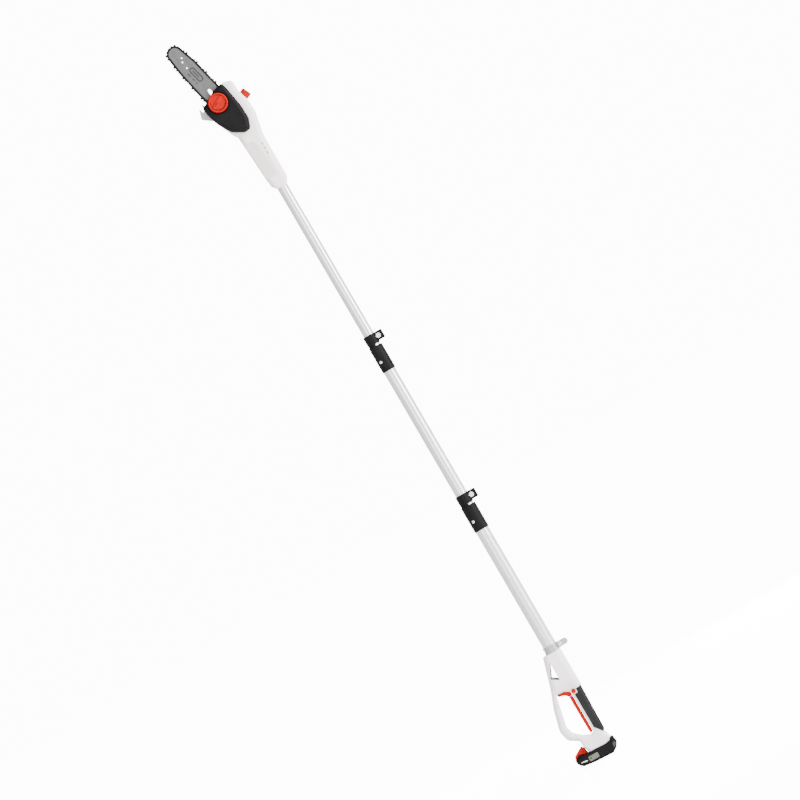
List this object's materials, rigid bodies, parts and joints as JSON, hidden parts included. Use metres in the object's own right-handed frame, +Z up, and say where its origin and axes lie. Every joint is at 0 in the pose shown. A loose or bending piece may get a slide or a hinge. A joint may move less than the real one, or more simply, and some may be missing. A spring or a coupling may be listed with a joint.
{
  "type": "telescoping pole saw",
  "caption": "Cordless pole saw: D-handle with slide-on battery, telescoping aluminium pole with clamp locks, and a motor head carrying a short guide bar and chain.",
  "frame": {"origin": "middle of the rear grip, on the pole's axis", "axes": "+Z up the pole towards the saw, +X to the tool's back where the soft grip and oil cap are, -Y to the side with the sprocket cover and knob"},
  "size_m": [0.1536, 0.096, 2.2901],
  "materials": {
    "housing": "fine-textured warm white moulding",
    "black_plastic": "fine-textured black moulding",
    "soft_grip": "soft textured rubber",
    "orange_plastic": "satin orange moulding",
    "tube_aluminium": "satin anodised",
    "clamp_metal": "cast, tumbled",
    "bright_steel": "zinc plated",
    "bar_steel": "ground grey",
    "chain_steel": "oiled dark steel",
    "gauge_panel": "pale gloss",
    "cells": "shrink sleeve",
    "tank": "natural polyethylene",
    "hook": "light grey moulding"
  },
  "bodies": {
    "handle": {"handle_shell_left": "housing", "handle_shell_right": "housing", "soft_grip": "soft_grip", "hand_guard_trim": "orange_plastic", "trigger_pin": "bright_steel", "latch_pin": "bright_steel", "switch_module": "black_plastic", "handle_terminals": "black_plastic", "handle_screws": "bright_steel", "pole_clamp_collar": "clamp_metal", "pole_clamp_bolt": "bright_steel", "lower_tube": "tube_aluminium", "lower_lock_collar": "black_plastic", "lower_lock_bolt": "bright_steel", "lower_lock_rivets": "bright_steel", "trigger_spring": "bright_steel", "lock_off_spring": "bright_steel"},
    "trigger": {"trigger": "orange_plastic"},
    "lock_off_button": {"lock_off_button": "orange_plastic"},
    "battery": {"battery_upper_case": "black_plastic", "battery_lower_case": "black_plastic", "battery_cells": "cells", "battery_screws": "bright_steel", "gauge_panel": "gauge_panel"},
    "gauge_button": {"gauge_button": "gauge_panel"},
    "battery_latch": {"battery_latch": "orange_plastic"},
    "pole_clamp_lever": {"pole_clamp_lever": "clamp_metal"},
    "lower_lock_lever": {"lower_lock_lever": "black_plastic"},
    "upper_lock_lever": {"upper_lock_lever": "black_plastic"},
    "middle_pole": {"middle_tube": "tube_aluminium", "middle_tube_bush": "black_plastic", "upper_lock_collar": "black_plastic", "upper_lock_bolt": "bright_steel", "upper_lock_rivets": "bright_steel"},
    "saw_head": {"upper_tube": "tube_aluminium", "upper_tube_bush": "black_plastic", "head_shell_left": "housing", "head_shell_right": "housing", "head_screws": "bright_steel", "motor_can": "clamp_metal", "shaft_bearings": "bright_steel", "sprocket_cover": "black_plastic", "bar_stud": "bright_steel", "bar_side_plates": "bar_steel", "bar_core": "bar_steel", "chain_drive_links": "chain_steel", "chain_tie_straps": "chain_steel", "chain_cutters": "chain_steel", "chain_rivets": "bright_steel", "oil_tank": "tank", "branch_hook": "hook"},
    "drive": {"output_shaft": "bright_steel", "bevel_gear": "bright_steel", "drive_sprocket": "bright_steel"},
    "motor_rotor": {"motor_rotor": "bright_steel", "bevel_pinion": "bright_steel"},
    "cover_knob": {"cover_knob": "orange_plastic"},
    "oil_cap": {"oil_cap": "orange_plastic"}
  },
  "joints": [
    {"name": "middle_pole_slide", "type": "slide", "parent": "handle", "child": "middle_pole", "axis": [0, 0, 1], "range_m": [-0.385, 0]},
    {"name": "upper_pole_slide", "type": "slide", "parent": "middle_pole", "child": "saw_head", "axis": [0, 0, 1], "range_m": [-0.465, 0]},
    {"name": "lower_lock_cam", "type": "hinge", "parent": "handle", "child": "lower_lock_lever", "pos_m": [0.0235, 0.0135, 0.6775], "axis": [0, 0, -1], "range_deg": [0, 120]},
    {"name": "upper_lock_cam", "type": "hinge", "parent": "middle_pole", "child": "upper_lock_lever", "pos_m": [0.022, 0.0135, 1.184], "axis": [0, 0, -1], "range_deg": [0, 120]},
    {"name": "pole_clamp_cam", "type": "hinge", "parent": "handle", "child": "pole_clamp_lever", "pos_m": [0.027, 0.0135, 0.2], "axis": [0, 0, 1], "range_deg": [0, 120]},
    {"name": "trigger_pull", "type": "hinge", "parent": "handle", "child": "trigger", "pos_m": [-0.009, 0, 0.056], "axis": [0, -1, 0], "range_deg": [0, 4], "stiffness_Nm_per_rad": 1.5, "springref_deg": -5.73, "deforming": ["trigger_spring"]},
    {"name": "lock_off_press", "type": "slide", "parent": "handle", "child": "lock_off_button", "axis": [0, 1, 0], "range_m": [0, 0.004], "stiffness_N_per_m": 300, "springref_m": -0.003, "deforming": ["lock_off_spring"]},
    {"name": "battery_slide", "type": "slide", "parent": "handle", "child": "battery", "axis": [0.9986, 0, -0.0538], "range_m": [0, 0.075]},
    {"name": "gauge_press", "type": "slide", "parent": "battery", "child": "gauge_button", "axis": [0, 1, 0], "range_m": [0, 0.0008], "stiffness_N_per_m": 300, "springref_m": -0.001},
    {"name": "battery_latch_lift", "type": "hinge", "parent": "handle", "child": "battery_latch", "pos_m": [-0.054, 0, -0.082], "axis": [0, 1, 0], "range_deg": [0, 6], "stiffness_Nm_per_rad": 1.5, "springref_deg": -5.73},
    {"name": "drive_spin", "type": "hinge", "parent": "saw_head", "child": "drive", "pos_m": [-0.025, 0, 1.908], "axis": [0, 1, 0], "continuous": true},
    {"name": "motor_spin", "type": "hinge", "parent": "saw_head", "child": "motor_rotor", "pos_m": [-0.025, 0, 1.908], "axis": [-0.1442, 0, 0.9896], "continuous": true},
    {"name": "cover_knob_turn", "type": "hinge", "parent": "saw_head", "child": "cover_knob", "pos_m": [-0.0375, -0.05, 1.956], "axis": [0, -1, 0], "range_deg": [0, 720]},
    {"name": "oil_cap_turn", "type": "hinge", "parent": "saw_head", "child": "oil_cap", "pos_m": [0.031, 0, 1.9388], "axis": [0.9063, 0, 0.4226], "range_deg": [0, 540]}
  ],
  "couplings": [
    {"joint": "motor_spin", "follows": "drive_spin", "ratio": 3}
  ]
}
